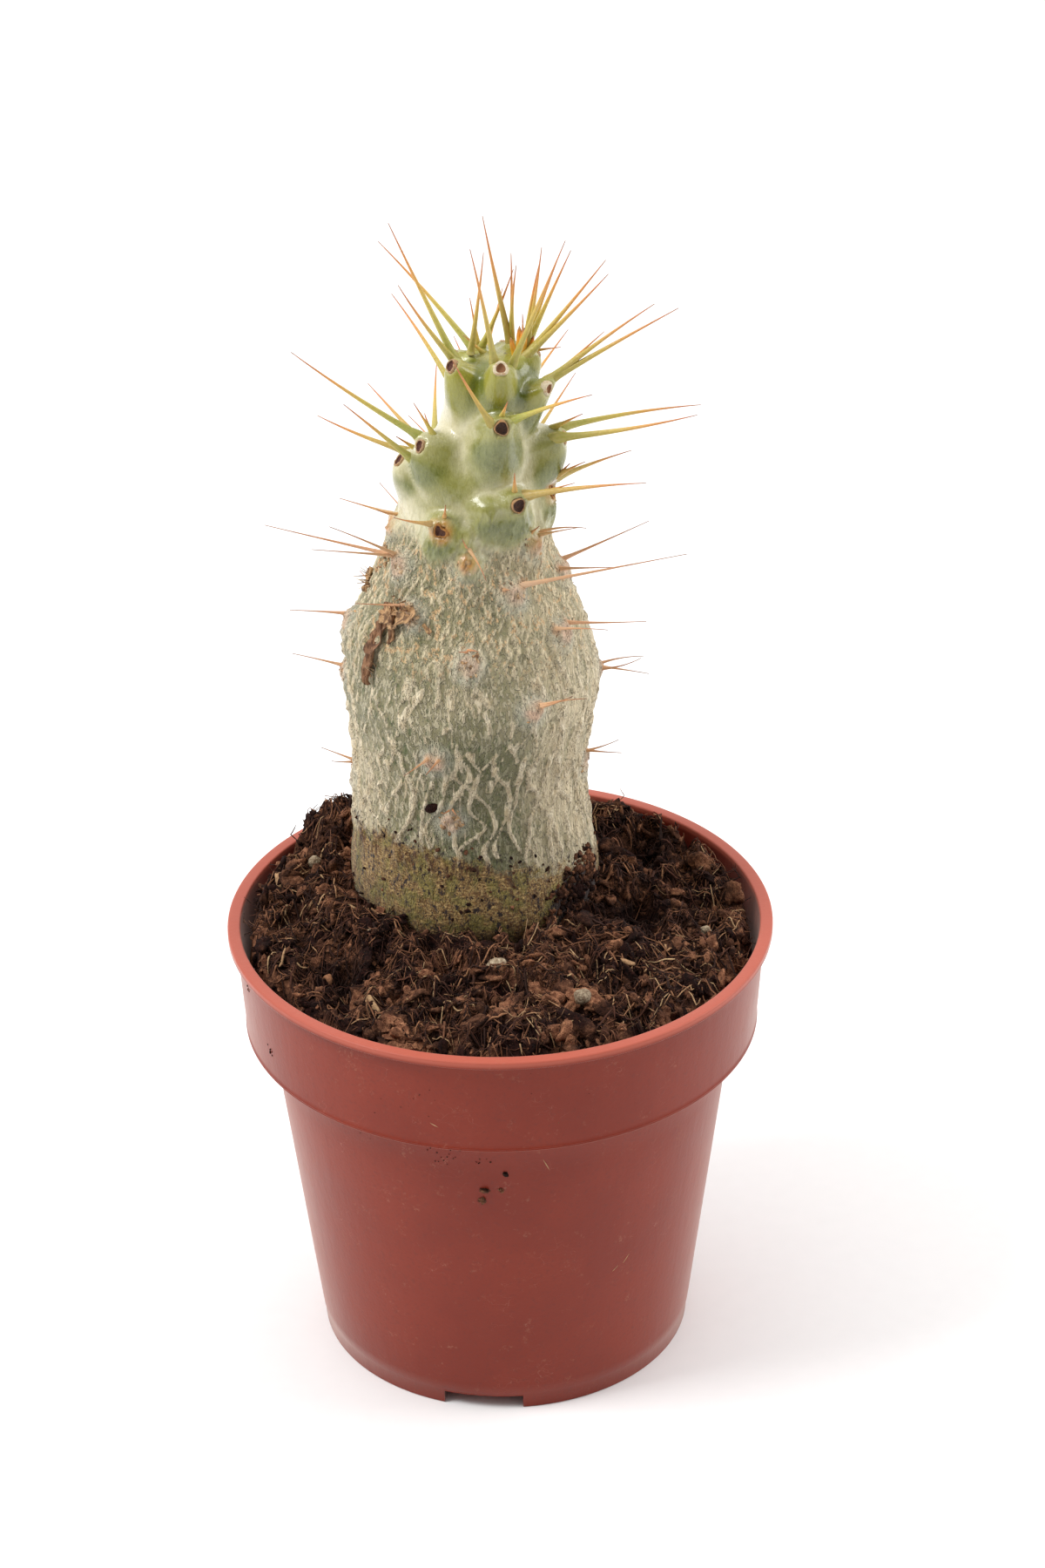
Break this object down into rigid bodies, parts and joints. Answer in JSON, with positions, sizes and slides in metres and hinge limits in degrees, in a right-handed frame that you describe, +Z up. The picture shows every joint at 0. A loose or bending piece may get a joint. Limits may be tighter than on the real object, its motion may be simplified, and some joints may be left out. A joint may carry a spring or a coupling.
{
  "type": "potted pachypodium",
  "caption": "Young caudex plant with a spiny, net-veined stem growing in peaty soil in a terracotta-coloured plastic nursery pot with a notched foot",
  "frame": {"origin": "On the pot's axis, at the middle of the box's bottom, on the surface that the pot stands on", "axes": "+Z up along the pot's axis; -Y is the front, the side that the picture shows; +X is the right as seen from the front"},
  "size_m": [0.105, 0.105, 0.2308],
  "materials": {
    "pot": "satin moulded polypropylene",
    "soil": "loose fibrous peat",
    "plant": "waxy living bark"
  },
  "bodies": {
    "root": {"pot": "pot", "soil": "soil", "plant": "plant"}
  },
  "joints": []
}
